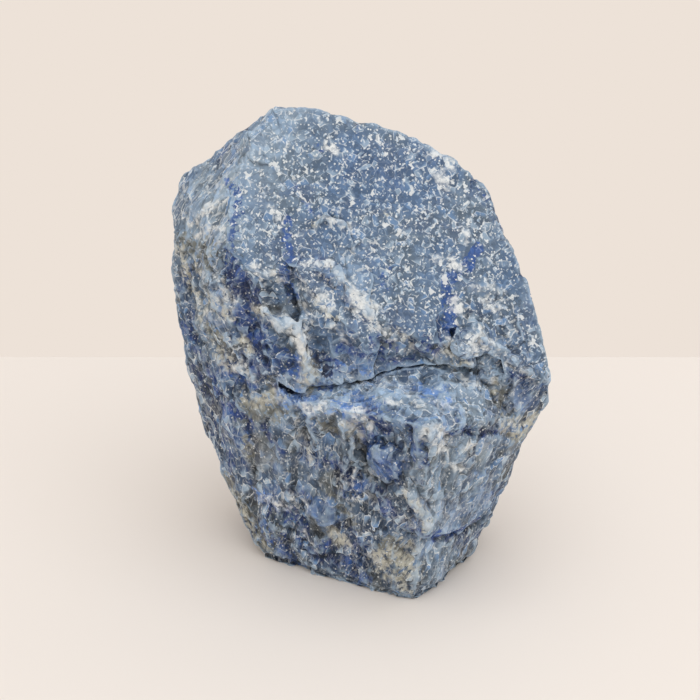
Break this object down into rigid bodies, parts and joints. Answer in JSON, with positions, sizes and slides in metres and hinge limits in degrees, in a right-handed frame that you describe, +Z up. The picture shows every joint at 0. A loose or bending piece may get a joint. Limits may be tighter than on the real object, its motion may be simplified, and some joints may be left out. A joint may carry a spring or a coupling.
{
  "type": "blue quartz specimen",
  "caption": "Rough tapering chunk of blue quartz: a leaning mass with a flat flecked cleavage face over a stepped ledge and a broken lower block, standing upright on a flat foot.",
  "frame": {"origin": "middle of the bounding box in plan, at the level of the flat foot", "axes": "+Z up, from the foot to the crown; -Y towards the front, where the flat upper face, the ledge and the front corner are; +X to the right seen from the front"},
  "size_m": [0.0812, 0.0602, 0.0998],
  "materials": {
    "quartz": "rough broken blue quartz, slate blue with fine white flecks and net lines, deep blue veins, white and cream crests, grains slightly glassy"
  },
  "bodies": {
    "root": {"blue_quartz": "quartz"}
  },
  "joints": []
}
